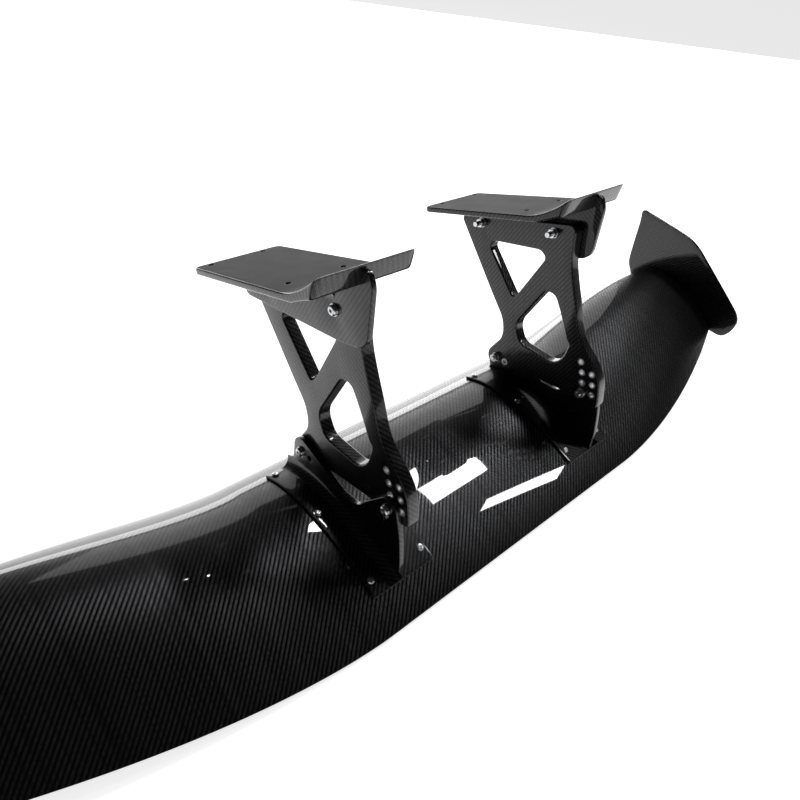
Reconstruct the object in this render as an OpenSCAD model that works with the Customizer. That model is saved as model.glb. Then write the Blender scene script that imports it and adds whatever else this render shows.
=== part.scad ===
// Racing rear wing on two stands, stored upside down: suction side up, trunk plates on top.
// +X is the car's left, +Y its front, Z=0 the floor, X=0 the mirror plane.

/* [Blade] */
// Blade width between the end plates
span = 1600; // [1400:10:1800]
// Half width of the straight centre section
flat_half = 280; // [260:5:400]
// Section thickness as a share of the chord
thick = 0.14; // [0.10:0.005:0.18]
// Section camber as a share of the chord
camber_max = 0.128; // [0.08:0.002:0.16]
// Place of the greatest camber along the chord
camber_at = 0.37; // [0.30:0.01:0.45]
// Laminate thickness of each skin
skin_t = 2.3; // [1.5:0.1:3.5]
// Half the thickness of the trailing edge
te_half = 1.75; // [1:0.05:3]
// Rise of the trailing edge at the tips
te_rise = 41; // [0:1:60]
// Forward sweep of the trailing edge at the tips
te_sweep = 114; // [60:1:140]
// Rise of the leading edge at the tips
le_rise = 86; // [40:1:110]

/* [End plates] */
// End plate thickness
end_plate_t = 6; // [4:0.5:8]

/* [Stands] */
// Distance from the mirror plane to a pillar's middle
stand_x = 215; // [215:1:225]
// Pillar thickness
pillar_t = 20; // [18:0.5:20]
// Angle of the stands at rest
stand_tilt = 17.4; // [14:0.1:20]
// Distance from the pivot to the locking holes
lock_r = 180; // [175:1:185]
// Angle between neighbouring locking holes
lock_pitch = 5.8; // [5.5:0.1:6]

/* [Trunk mounts] */
// Plate thickness
plate_t = 9; // [6:0.5:10]
// Inner edge of the plate
plate_x0 = 150; // [145:1:170]
// Outer edge of the plate at the front
plate_x1 = 288; // [280:1:295]
// Outer edge of the plate at its lip
plate_x2 = 300; // [285:1:305]
// Front edge of the plate, ahead of the pivot
plate_front = 101; // [95:1:105]
// Height of the lip above the mating face
lip_rise = 27.5; // [15:0.5:32]
// Height of the plate's mating face above the pivot
plate_h = 270; // [268:1:280]
// Radius of the mounting holes
plate_hole_r = 4.25; // [3.25:0.25:5.25]

/* [Brackets] */
// Flange thickness
flange_t = 4; // [3:0.5:6]
// Fin thickness
fin_t = 8; // [6:0.5:10]
// Radius of the fillet between the fin and the flange
fillet_r = 16; // [8:1:20]

/* [Hidden] */
// centre section's leading and trailing edge, as [y, z]
le0 = [124, 6];
te0 = [-219, 4];
// pivot and the second front hole, as [y, z]
pivot = [43, 109];
spare = [-19.1, -6];
// angle of the pinned hole above the rearward direction
lock_a = 9.5;
// extra angle of the second row of locking holes, about the spare pivot
fine_step = 2;
m8_r = 4;
m8_hole = 4.25;
run_r = 4.05;
bush_r = 6;
slot_r = 4.3;
m6_r = 3;
m5_r = 2.5;
// space left between pieces: bonded, and moving
bond = 0.8;
slip = 0.3;
fin_x0 = stand_x + 10;
fin_x1 = fin_x0 + fin_t;
pillar_x0 = stand_x - pillar_t / 2;
pillar_x1 = fin_x0 - slip;
washer_t = 1.6;
washer_r = 8;
nut_t = 6.8;
head_t = 4.4;
// bolt length past the nut: pivot and locking bolts, and trunk mount bolts
bolt_out = 3;
trunk_bolt_out = 10;
rib_x0 = span / 2 - 14;
rib_x1 = span / 2 - 0.4;
spar_f = [0.285, 0.315];
spar_r = [0.635, 0.665];
// bracket screw places along the chord, and their distances from the mirror plane
screw_t = [0.213, 0.478, 0.80];
screw_x = [174, 266];
// end plate screw places along the tip's chord
tip_t = [0.19, 0.37, 0.57];
trunk_bolts_uw = [[20, 239], [-125, 234]];
plate_x = [184, 267];
plate_u = [90, -89];
// steps along each surface of the section, and stations outboard of the straight centre
n_sec = 24;
n_out = 9;
stations = concat(
    [for (i = [0 : n_out]) -span / 2 + (span / 2 - flat_half) * i / n_out],
    [for (i = [0 : n_out]) flat_half + (span / 2 - flat_half) * i / n_out]
);
carbon = [0.03, 0.03, 0.034];
alloy = [0.75, 0.76, 0.78];
steel = [0.62, 0.63, 0.65];
core = [0.62, 0.5, 0.3];

// ---- blade section ----
function clamp01(v) = max(0, min(1, v));
function te_f(x) = pow(clamp01((abs(x) - flat_half) / (span / 2 - flat_half)), 1.7);
function le_g(x) = pow(sin(90 * clamp01((abs(x) - flat_half - 50) / (span / 2 - flat_half - 50))), 1.5);
function te_pt(x) = te0 + te_f(x) * [te_sweep, te_rise];
function le_pt(x) = le0 + [-10 * te_f(x), le_rise * le_g(x)];
function half_t(t) = 5 * thick
    * (0.2969 * sqrt(t) - 0.126 * t - 0.3516 * t * t + 0.2843 * pow(t, 3) - 0.1015 * pow(t, 4));
function camber(t) = t < camber_at
    ? camber_max / pow(camber_at, 2) * (2 * camber_at * t - t * t)
    : camber_max / pow(1 - camber_at, 2) * (1 - 2 * camber_at + 2 * camber_at * t - t * t);
function slope(t) = 2 * camber_max * (camber_at - t) / pow(t < camber_at ? camber_at : 1 - camber_at, 2);
// a point h mm off the camber line, side +1 above it and -1 below it, as [y, z]
function off_camber(x, t, side, h) =
    let (a = le_pt(x), c = te_pt(x) - a, len = norm(c), e = c / len, n = [e[1], -e[0]], phi = atan(slope(t)))
    a + e * t * len + n * camber(t) * len + side * h * (n * cos(phi) - e * sin(phi));
function outer_h(x, t) = half_t(t) * norm(te_pt(x) - le_pt(x)) + te_half * t;
function inner_h(x, t, gap) = t < 0.01 ? 0 : max(0, outer_h(x, t) - skin_t - gap);
function surf(x, t, extra) = off_camber(x, t, 1, outer_h(x, t) + extra);
function inside(x, t, side, gap) = off_camber(x, t, side, inner_h(x, t, gap));
function cos_t(i) = (1 - cos(180 * i / n_sec)) / 2;
// angle of the upper surface's outward normal from vertical, about X
function surf_tilt(x, t) = let (d = surf(x, t + 0.01, 0) - surf(x, t - 0.01, 0)) atan2(d[1], -d[0]);

// faces of a loft through rings of m points, rings running away from the viewer's end
function loft_faces(rings, m, flip) = concat(
    [for (j = [0 : rings - 2]) for (k = [0 : m - 1]) for (h = [0, 1])
        let (a = j * m + k, b = j * m + (k + 1) % m, c = b + m, d = a + m, f = h == 0 ? [c, b, a] : [d, c, a])
        flip ? [f[2], f[1], f[0]] : f],
    [[for (k = [0 : m - 1]) flip ? m - 1 - k : k]],
    [[for (k = [0 : m - 1]) (rings - 1) * m + (flip ? k : m - 1 - k)]]
);
function skin_ring(x, side) = concat(
    [for (i = [0 : n_sec]) off_camber(x, cos_t(i), side, outer_h(x, cos_t(i)))],
    [for (i = [0 : n_sec - 1]) inside(x, cos_t(n_sec - i), side, 0)]
);
function web_ring(x, t0, t1, n) = concat(
    [for (i = [0 : n]) inside(x, t0 + (t1 - t0) * i / n, 1, bond)],
    [for (i = [0 : n]) inside(x, t1 + (t0 - t1) * i / n, -1, bond)]
);
function in_x(x, ring) = [for (p = ring) [x, p[0], p[1]]];

module skin(side) {
    pts = [for (x = stations) each in_x(x, skin_ring(x, side))];
    polyhedron(points = pts, faces = loft_faces(len(stations), 2 * n_sec + 1, side < 0), convexity = 8);
}

module web(xs, t0, t1, n = 2) {
    pts = [for (x = xs) each in_x(x, web_ring(x, t0, t1, n))];
    polyhedron(points = pts, faces = loft_faces(len(xs), 2 * n + 2, false), convexity = 4);
}

// ---- helpers ----
// corners replaced with short curves, at most r from each corner; an open path keeps its two ends
function round_poly(p, r, k = 4, open = false) = [
    for (i = [0 : len(p) - 1])
        let (q = p[i], u = p[(i + len(p) - 1) % len(p)] - q, v = p[(i + 1) % len(p)] - q,
             keep = open && (i == 0 || i == len(p) - 1),
             d = keep ? 0 : min(r, 0.48 * norm(u), 0.48 * norm(v)),
             a = q + u / norm(u) * d, b = q + v / norm(v) * d)
        for (s = keep ? [0] : [0 : 1 / k : 1]) (1 - s) * (1 - s) * a + 2 * s * (1 - s) * q + s * s * b
];
function arc(c, r, a0, a1, n = 8) = [
    for (i = [0 : n]) let (a = a0 + (a1 - a0) * i / n) c + r * [cos(a), sin(a)]
];
function lock_turn(k) = lock_a - stand_tilt + lock_pitch * k;
function lock_pt(k) = lock_r * [-cos(lock_turn(k)), sin(lock_turn(k))];
function fine_pt(k) = spare + lock_r * [-cos(lock_turn(k) + fine_step), sin(lock_turn(k) + fine_step)];

// a profile in [y, z] made solid from x0 to x1
module slab(x0, x1) {
    translate([x0, 0, 0]) rotate([90, 0, 90]) linear_extrude(x1 - x0) children();
}

// a round rod along X
module rod(c, x0, x1, r, fn = 48) {
    translate([x0, c[0], c[1]]) rotate([90, 0, 90]) cylinder(r = r, h = x1 - x0, $fn = fn);
}

// children drawn on +X, mirrored for the right side
module side(s) {
    mirror([s < 0 ? 1 : 0, 0, 0]) children();
}

// stand coordinates, [x, forward, up] from the pivot, turned to the rest angle
module in_stand() {
    translate([0, pivot[0], pivot[1]]) rotate([-stand_tilt, 0, 0]) children();
}

// button head with its rounded top and hex socket, seat at Z=0, shank below
module button_screw(r, len, head_r, head_h, socket_r) {
    difference() {
        union() {
            translate([0, 0, -len]) cylinder(r = r, h = len + 0.1, $fn = 40);
            rotate_extrude($fn = 48)
                polygon(concat([[0, 0], [head_r, 0], [head_r, head_h * 0.2]],
                    [for (a = [15 : 15 : 60]) [head_r * cos(a) * 1.02, head_h * (0.2 + 0.8 * sin(a * 1.5))]],
                    [[0, head_h]]));
        }
        translate([0, 0, head_h * 0.4]) cylinder(r = socket_r, h = head_h, $fn = 6);
    }
}

// a bolt along X with its head outboard
module x_bolt(c, seat, tip) {
    translate([seat, c[0], c[1]]) rotate([0, 90, 0]) button_screw(m8_r, seat - tip, 7, head_t, 2.9);
}

module x_ring(c, x0, x1, r, hole) {
    difference() {
        rod(c, x0, x1, r);
        rod(c, x0 - 1, x1 + 1, hole);
    }
}

module x_nut(c, x0) {
    difference() {
        intersection() {
            rod(c, x0, x0 + nut_t, 7.5, 6);
            rod(c, x0, x0 + nut_t, 7.2);
        }
        rod(c, x0 - 1, x0 + nut_t + 1, run_r);
    }
}

// places children at each bracket screw, extra mm off the skin with Z along the surface normal
module at_bracket_screws(extra) {
    for (sx = screw_x) for (t = screw_t) {
        p = surf(0, t, 0);
        translate([sx, p[0], p[1]]) rotate([-surf_tilt(0, t), 0, 0]) translate([0, 0, extra]) children();
    }
}

module at_tip_screws(x) {
    for (t = tip_t) {
        p = off_camber(span / 2, t, 1, 0);
        translate([x, p[0], p[1]]) rotate([0, 90, 0]) children();
    }
}

// ---- blade ----
module suction_skin() {
    color(carbon) difference() {
        skin(1);
        for (s = [1, -1]) side(s) at_bracket_screws(0)
            translate([0, 0, -6]) cylinder(r = 3.3, h = 12, $fn = 32);
    }
}

module pressure_skin() {
    color(carbon) skin(-1);
}

spar_xs = concat([-rib_x0 + 1], [for (x = stations) if (abs(x) < rib_x0 - 2) x], [rib_x0 - 1]);

module front_spar() {
    color(carbon) web(spar_xs, spar_f[0], spar_f[1]);
}

module rear_spar() {
    color(carbon) web(spar_xs, spar_r[0], spar_r[1]);
}

module block(t0, t1) {
    n = 8;
    slab(166, 274) polygon(concat(
        [for (i = [0 : n]) inside(0, t0 + (t1 - t0) * i / n, 1, bond)],
        [for (i = [0 : n]) inside(0, t1 + (t0 - t1) * i / n, -1, bond)]
    ));
}

module mount_blocks(s) {
    color(core) side(s) difference() {
        union() {
            block(0.13, spar_f[0] - 0.004);
            block(spar_f[1] + 0.004, spar_r[0] - 0.004);
            block(spar_r[1] + 0.004, 0.87);
        }
        at_bracket_screws(-skin_t - bond) translate([0, 0, -13.4]) cylinder(r = 4.55, h = 16, $fn = 40);
    }
}
module mount_blocks_left() { mount_blocks(1); }
module mount_blocks_right() { mount_blocks(-1); }

module bracket_inserts(s) {
    color(alloy) side(s) at_bracket_screws(-skin_t - 1) difference() {
        translate([0, 0, -12]) cylinder(r = 4.5, h = 11.6, $fn = 40);
        translate([0, 0, -13]) cylinder(r = 3.05, h = 14, $fn = 40);
    }
}
module bracket_inserts_left() { bracket_inserts(1); }
module bracket_inserts_right() { bracket_inserts(-1); }

module end_rib(s) {
    color(core) side(s) difference() {
        web([rib_x0, rib_x1], 0.07, 0.7, 7);
        at_tip_screws(rib_x0 - 1) cylinder(r = 3.65, h = 20, $fn = 32);
    }
}
module end_rib_left() { end_rib(1); }
module end_rib_right() { end_rib(-1); }

module end_plate_inserts(s) {
    color(alloy) side(s) at_tip_screws(rib_x0 + 2) difference() {
        cylinder(r = 3.6, h = 11, $fn = 32);
        translate([0, 0, -1]) cylinder(r = 2.55, h = 13, $fn = 32);
    }
}
module end_plate_inserts_left() { end_plate_inserts(1); }
module end_plate_inserts_right() { end_plate_inserts(-1); }

// ---- end plates ----
plate_outline = [
    [141, 236], [90, 229], [37, 221], [10, 216], [-15.5, 204], [-70, 163], [-125, 121], [-146, 104],
    [-156, 88], [-152, 62], [-137, 40], [-60, 44], [40, 58], [100, 74], [117, 86], [130, 104], [133, 124],
    [135, 174], [136, 211]
];

module end_plate(s) {
    color(carbon) side(s) difference() {
        slab(span / 2, span / 2 + end_plate_t) polygon(round_poly(plate_outline, 12));
        at_tip_screws(span / 2 - 1) cylinder(r = 2.75, h = end_plate_t + 2, $fn = 32);
    }
}
module end_plate_left() { end_plate(1); }
module end_plate_right() { end_plate(-1); }

module end_plate_screws(s) {
    color(steel) side(s) at_tip_screws(span / 2 + end_plate_t) button_screw(m5_r, 16, 4.75, 2.75, 1.7);
}
module end_plate_screws_left() { end_plate_screws(1); }
module end_plate_screws_right() { end_plate_screws(-1); }

// ---- brackets ----
bracket_t0 = 0.176;
bracket_t1 = 0.862;
seat_gap = 0.2;

module flange() {
    n = 26;
    slab(164, 276) polygon(concat(
        [for (i = [0 : n]) surf(0, bracket_t0 + (bracket_t1 - bracket_t0) * i / n, seat_gap)],
        [for (i = [0 : n]) surf(0, bracket_t1 + (bracket_t0 - bracket_t1) * i / n, seat_gap + flange_t)]
    ));
}

// fin outline: front lobe about the pivot, waist, rear lobe about the locking bolt
fin_top = round_poly(concat(
    [[60, 90]],
    arc([43, 115], 17, 0, 120, 5),
    [[-20, 110], [-43, 100.6], [-82, 101], [-98, 124]],
    arc([-136, 139], 18.5, 50, 175, 5),
    [[-165, 110], [-173, 65]]
), 18, 4, true);

module fin() {
    n = 26;
    slab(fin_x0, fin_x1) polygon(concat(
        fin_top,
        [for (i = [0 : n]) surf(0, 0.858 + (0.187 - 0.858) * i / n, seat_gap + 1)]
    ));
}

module fillet() {
    n = 22;
    h0 = seat_gap + flange_t;
    ring = concat([[fin_x1 - 1, h0 - 1], [fin_x1 + fillet_r, h0 - 1]],
        [for (a = [0 : 15 : 90]) [fin_x1 + fillet_r * (1 - sin(a)), h0 + fillet_r * (1 - cos(a))]],
        [[fin_x1 - 1, h0 + fillet_r]]);
    pts = [for (i = [0 : n]) for (q = ring)
        let (p = surf(0, 0.19 + (0.855 - 0.19) * i / n, q[1])) [q[0], p[0], p[1]]];
    polyhedron(points = pts, faces = loft_faces(n + 1, len(ring), false), convexity = 4);
}

module lock_slot() {
    translate([fin_x0 - 1, pivot[0], pivot[1]]) rotate([90, 0, 90]) {
        rotate([0, 0, 180 - lock_a]) rotate_extrude(angle = lock_pitch, $fn = 360)
            translate([lock_r - slot_r + 0.02, 0]) square([2 * slot_r - 0.04, fin_t + 2]);
        for (a = [0, lock_pitch]) rotate([0, 0, 180 - lock_a + a]) translate([lock_r, 0, 0])
            cylinder(r = slot_r, h = fin_t + 2, $fn = 48);
    }
}

module bracket(s) {
    color(carbon) side(s) difference() {
        union() {
            flange();
            fin();
            fillet();
        }
        rod(pivot, fin_x0 - 1, fin_x1 + 1, m8_hole);
        rod(pivot - [20, 0], fin_x0 - 1, fin_x1 + 1, m8_hole);
        lock_slot();
        at_bracket_screws(0) translate([0, 0, -6]) cylinder(r = 3.3, h = 20, $fn = 32);
        at_bracket_screws(seat_gap + flange_t) cylinder(r = 6.2, h = 14, $fn = 40);
    }
}
module bracket_left() { bracket(1); }
module bracket_right() { bracket(-1); }

module bracket_screws(s) {
    color(steel) side(s) at_bracket_screws(seat_gap + flange_t + 0.05) button_screw(m6_r, 19, 5.25, 3.3, 2);
}
module bracket_screws_left() { bracket_screws(1); }
module bracket_screws_right() { bracket_screws(-1); }

// ---- stands ----
pillar_outline = round_poly(concat(
    [[-166.5, 249], [68.5, 250], [5, 118], [-16.5, 76], [-17, 52], [-11.5, 37]],
    arc([0, 0], 20, 45, -85, 6),
    [[-22, -21.5], [-36, -17], [-58.5, -17], [-137.5, -29.5], [-208, -48.5], [-211, -26], [-212.5, 4],
        [-200, 30], [-177, 61], [-169.5, 89], [-167, 117.5], [-161, 155], [-157, 191]]
), 15);
upper_cut = [[-4, 210], [-99, 204], [-109, 192], [-51, 125], [-40, 118], [5, 199.5]];
lower_cut = [
    [-109.5, 139], [-51, 77], [-47, 63], [-54, 36], [-120, 15], [-141, 27], [-154.5, 55], [-149, 62],
    [-137, 106], [-127, 134]
];
bush_pts = concat([[0, 0], spare], [for (k = [0 : 3]) lock_pt(k)], [for (k = [0 : 2]) fine_pt(k)]);

module pillar(s) {
    color(carbon) side(s) in_stand() difference() {
        slab(pillar_x0, pillar_x1) polygon(pillar_outline);
        slab(pillar_x0 - 1, pillar_x1 + 1) polygon(round_poly(upper_cut, 11));
        slab(pillar_x0 - 1, pillar_x1 + 1) polygon(round_poly(lower_cut, 11));
        for (p = bush_pts) rod(p, pillar_x0 - 1, pillar_x1 + 1, bush_r + 0.05);
        for (p = trunk_bolts_uw) rod(p, pillar_x0 - 1, pillar_x1 + 1, m8_hole);
    }
}
module pillar_left() { pillar(1); }
module pillar_right() { pillar(-1); }

module pillar_bushes(s) {
    color(alloy) side(s) in_stand() {
        x_ring(bush_pts[0], pillar_x0, pillar_x1, bush_r, run_r);
        for (i = [1 : len(bush_pts) - 1]) x_ring(bush_pts[i], pillar_x0, pillar_x1, bush_r, m8_hole);
    }
}
module pillar_bushes_left() { pillar_bushes(1); }
module pillar_bushes_right() { pillar_bushes(-1); }

module pivot_bolt(s) {
    color(steel) side(s) x_bolt(pivot, fin_x1 + washer_t, pillar_x0 - slip - washer_t - nut_t - bolt_out);
}
module pivot_bolt_left() { pivot_bolt(1); }
module pivot_bolt_right() { pivot_bolt(-1); }

module pivot_washers(s) {
    color(steel) side(s) {
        x_ring(pivot, fin_x1, fin_x1 + washer_t, washer_r, m8_hole);
        x_ring(pivot, pillar_x0 - slip - washer_t, pillar_x0 - slip, washer_r, m8_hole);
    }
}
module pivot_washers_left() { pivot_washers(1); }
module pivot_washers_right() { pivot_washers(-1); }

module pivot_nut(s) {
    color(steel) side(s) x_nut(pivot, pillar_x0 - slip - washer_t - nut_t);
}
module pivot_nut_left() { pivot_nut(1); }
module pivot_nut_right() { pivot_nut(-1); }

module lock_bolt(s) {
    color(steel) side(s) in_stand()
        x_bolt(lock_pt(0), fin_x1 + slip + washer_t, pillar_x0 - washer_t - nut_t - bolt_out);
}
module lock_bolt_left() { lock_bolt(1); }
module lock_bolt_right() { lock_bolt(-1); }

module lock_washers(s) {
    color(steel) side(s) in_stand() {
        x_ring(lock_pt(0), fin_x1 + slip, fin_x1 + slip + washer_t, washer_r, m8_hole);
        x_ring(lock_pt(0), pillar_x0 - washer_t, pillar_x0, washer_r, m8_hole);
    }
}
module lock_washers_left() { lock_washers(1); }
module lock_washers_right() { lock_washers(-1); }

module lock_nut(s) {
    color(steel) side(s) in_stand() x_nut(lock_pt(0), pillar_x0 - washer_t - nut_t);
}
module lock_nut_left() { lock_nut(1); }
module lock_nut_right() { lock_nut(-1); }

// ---- trunk mounts ----
// the mating face curves up into a wedge-shaped lip behind lip_u
lip_u = -112;
lip_run = 78;
lip_n = 6;
plate_profile = concat(
    [[plate_front + 9, plate_h]],
    [for (i = [0 : lip_n]) [lip_u - lip_run * i / lip_n, plate_h + lip_rise * pow(i / lip_n, 1.8)]],
    [[-192.5, plate_h + 26], [-192, plate_h + 23], [-179, plate_h + 3.5], [-176, plate_h + 1],
        [-153, plate_h - 3.5], [-132, plate_h - plate_t], [plate_front + 9, plate_h - plate_t]]
);
plate_plan = round_poly(
    [[plate_x0, plate_front], [plate_x1, plate_front], [plate_x2, -195], [plate_x0, -195]], 10
);
trunk_fin = [
    [92, plate_h - 4], [72, 231], [67, 223], [-119, 195], [-164, 192], [-179.5, 201.5], [-199, 270],
    [-195, plate_h + 18], [-186, plate_h + 20], [-140, plate_h - 2]
];

module trunk_fillet() {
    r = 14;
    x = fin_x1;
    w = plate_h - plate_t;
    translate([0, 86, 0]) rotate([90, 0, 0]) linear_extrude(214)
        polygon(concat([[x - 1, w + 1], [x - 1, w - r]],
            [for (a = [90 : -15 : 0]) [x + r * (1 - sin(a)), w - r * (1 - cos(a))]], [[x + r, w + 1]]));
}

module trunk_mount(s) {
    color(carbon) side(s) in_stand() difference() {
        union() {
            intersection() {
                slab(plate_x0 - 1, plate_x2 + 1) polygon(plate_profile);
                linear_extrude(plate_h + lip_rise + 10) polygon(plate_plan);
            }
            slab(pillar_x1 + 0.1, fin_x1) polygon(round_poly(trunk_fin, 8));
            trunk_fillet();
        }
        for (px = plate_x) for (pu = plate_u)
            translate([px, pu, plate_h - 20]) cylinder(r = plate_hole_r, h = 30, $fn = 40);
        for (p = trunk_bolts_uw) rod(p, pillar_x1 - 1, fin_x1 + 1, m8_hole);
    }
}
module trunk_mount_left() { trunk_mount(1); }
module trunk_mount_right() { trunk_mount(-1); }

module trunk_bolts(s) {
    color(steel) side(s) in_stand() for (p = trunk_bolts_uw)
        x_bolt(p, fin_x1 + washer_t, pillar_x0 - washer_t - nut_t - trunk_bolt_out);
}
module trunk_bolts_left() { trunk_bolts(1); }
module trunk_bolts_right() { trunk_bolts(-1); }

module trunk_washers(s) {
    color(steel) side(s) in_stand() for (p = trunk_bolts_uw) {
        x_ring(p, fin_x1, fin_x1 + washer_t, washer_r, m8_hole);
        x_ring(p, pillar_x0 - washer_t, pillar_x0, washer_r, m8_hole);
    }
}
module trunk_washers_left() { trunk_washers(1); }
module trunk_washers_right() { trunk_washers(-1); }

module trunk_nuts(s) {
    color(steel) side(s) in_stand() for (p = trunk_bolts_uw) x_nut(p, pillar_x0 - washer_t - nut_t);
}
module trunk_nuts_left() { trunk_nuts(1); }
module trunk_nuts_right() { trunk_nuts(-1); }

suction_skin();
pressure_skin();
front_spar();
rear_spar();
mount_blocks_left();
mount_blocks_right();
end_rib_left();
end_rib_right();
bracket_inserts_left();
bracket_inserts_right();
end_plate_inserts_left();
end_plate_inserts_right();
end_plate_left();
end_plate_right();
end_plate_screws_left();
end_plate_screws_right();
bracket_left();
bracket_right();
bracket_screws_left();
bracket_screws_right();
pillar_left();
pillar_right();
pillar_bushes_left();
pillar_bushes_right();
pivot_bolt_left();
pivot_bolt_right();
pivot_washers_left();
pivot_washers_right();
pivot_nut_left();
pivot_nut_right();
lock_bolt_left();
lock_bolt_right();
lock_washers_left();
lock_washers_right();
lock_nut_left();
lock_nut_right();
trunk_mount_left();
trunk_mount_right();
trunk_bolts_left();
trunk_bolts_right();
trunk_washers_left();
trunk_washers_right();
trunk_nuts_left();
trunk_nuts_right();
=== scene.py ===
import math

import bpy
import numpy as np
from mathutils import Matrix, geometry


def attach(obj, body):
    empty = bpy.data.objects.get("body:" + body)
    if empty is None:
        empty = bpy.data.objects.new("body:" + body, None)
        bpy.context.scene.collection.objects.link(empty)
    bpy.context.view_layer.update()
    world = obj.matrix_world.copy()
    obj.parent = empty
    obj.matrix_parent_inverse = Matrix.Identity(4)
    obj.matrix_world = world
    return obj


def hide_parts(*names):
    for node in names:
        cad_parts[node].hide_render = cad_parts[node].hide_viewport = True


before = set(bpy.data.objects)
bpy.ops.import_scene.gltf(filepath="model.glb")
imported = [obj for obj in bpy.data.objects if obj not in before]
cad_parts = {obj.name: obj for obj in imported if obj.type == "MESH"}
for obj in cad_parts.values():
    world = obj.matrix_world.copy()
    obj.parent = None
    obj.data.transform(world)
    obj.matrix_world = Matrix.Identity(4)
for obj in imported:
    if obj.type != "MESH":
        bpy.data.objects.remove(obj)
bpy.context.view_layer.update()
mm = 0.001  # sizes below are in millimetres, and this turns them into metres
print("frame loaded")


# ---- shader nodes ----

def feed(tree, socket, value):
    # a wire or a socket is linked, anything else is set
    if isinstance(value, Wire):
        value = value.socket
    if isinstance(value, bpy.types.NodeSocket):
        tree.links.new(value, socket)
    else:
        socket.default_value = value


class Wire:
    # a node's output that can stand in arithmetic
    def __init__(self, tree, socket):
        self.tree = tree
        self.socket = socket

    def node(self, kind, settings=None, inputs=None, output=0):
        # any node: its settings first, then its sockets' values or links
        made = self.tree.nodes.new(kind)
        for key, value in (settings or {}).items():
            setattr(made, key, value)
        for key, value in (inputs or {}).items():
            feed(self.tree, made.inputs[key], value)
        return Wire(self.tree, made.outputs[output])

    def maths(self, operation, *values):
        return self.node("ShaderNodeMath", {"operation": operation}, dict(enumerate(values)))

    def __add__(self, other):
        return self.maths("ADD", self, other)

    def __radd__(self, other):
        return self.maths("ADD", other, self)

    def __sub__(self, other):
        return self.maths("SUBTRACT", self, other)

    def __rsub__(self, other):
        return self.maths("SUBTRACT", other, self)

    def __mul__(self, other):
        return self.maths("MULTIPLY", self, other)

    def __rmul__(self, other):
        return self.maths("MULTIPLY", other, self)

    def __truediv__(self, other):
        return self.maths("DIVIDE", self, other)

    def __mod__(self, other):
        return self.maths("FLOORED_MODULO", self, other)

    def __lt__(self, other):
        return self.maths("LESS_THAN", self, other)


def newMaterial(name):
    # a material with an empty tree, its shader, and a wire to grow the tree from
    made = bpy.data.materials.new(name)
    made.use_nodes = True
    tree = made.node_tree
    shader = tree.nodes["Principled BSDF"]
    return made, tree, shader, Wire(tree, None)


def setShader(tree, shader, **values):
    for key, value in values.items():
        feed(tree, shader.inputs[key.replace("_", " ")], value)


def mixColour(start, factor, low, high):
    return start.node(
        "ShaderNodeMix", {"data_type": "RGBA"}, {0: factor, 6: (*low, 1), 7: (*high, 1)}, 2)


twill = {
    "tow": 2.0 * mm,        # width of one tow
    "wander": 0.5 * mm,     # how far the tows stray
    "crown": 0.16 * mm,     # height of a tow's crown
    "wanderScale": 11.0,    # waves of straying in a metre
    "seamShade": 0.12,      # share of the colour left between tows: painted shade where the tows curve down into their seams
    "toneLow": 0.6,         # tone of the darkest tow
    "toneSpread": 0.8,      # how much lighter the lightest one is
    "warpSeed": 7.0,        # shifts that give the warp and the weft
    "weftSeed": 91.0,       # tones of their own
    "acrossShare": 0.6,     # part of the height that a tow's width gives, the rest is from its length
}


def twillWeave(start, lean):
    # 2x2 twill: over cell (i, j) the warp is on top where (i + lean j) mod 4 < 2; a tow's height
    # is a sine across it plus a sine along the two cells it floats over
    uv = start.node("ShaderNodeUVMap", {"uv_map": "weave"})
    stray = start.node("ShaderNodeTexNoise", output="Color", inputs={
        "Vector": uv, "Scale": twill["wanderScale"], "Detail": 2.0})
    strayParts = stray.node("ShaderNodeSeparateColor", inputs={0: stray})
    strayY = Wire(start.tree, strayParts.socket.node.outputs[1])
    parts = start.node("ShaderNodeSeparateXYZ", inputs={0: uv})
    partsY = Wire(start.tree, parts.socket.node.outputs[1])
    u = (parts + (strayParts - 0.5) * (2 * twill["wander"])) / twill["tow"]
    v = (partsY + (strayY - 0.5) * (2 * twill["wander"])) / twill["tow"]
    i, j = u.maths("FLOOR", u), v.maths("FLOOR", v)
    fu, fv = u - i, v - j
    k = (i + lean * j) % 4.0
    warp = k < 1.5  # k is whole, so this is k < 2 kept clear of rounding
    across = warp * fu.maths("SINE", fu * math.pi) \
        + (1 - warp) * fv.maths("SINE", fv * math.pi)
    alongWarp = (k + fv) / 2 if lean > 0 else (1 - k + fv) / 2
    alongWeft = (k - 2 + fu) / 2
    along = warp * u.maths("SINE", alongWarp * math.pi) \
        + (1 - warp) * u.maths("SINE", alongWeft * math.pi)
    pick = warp * (i + twill["warpSeed"]) + (1 - warp) * (j + twill["weftSeed"])
    shade = start.node("ShaderNodeTexWhiteNoise", {"noise_dimensions": "1D"}, {"W": pick}, 0)
    return warp, across, along, shade


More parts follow.
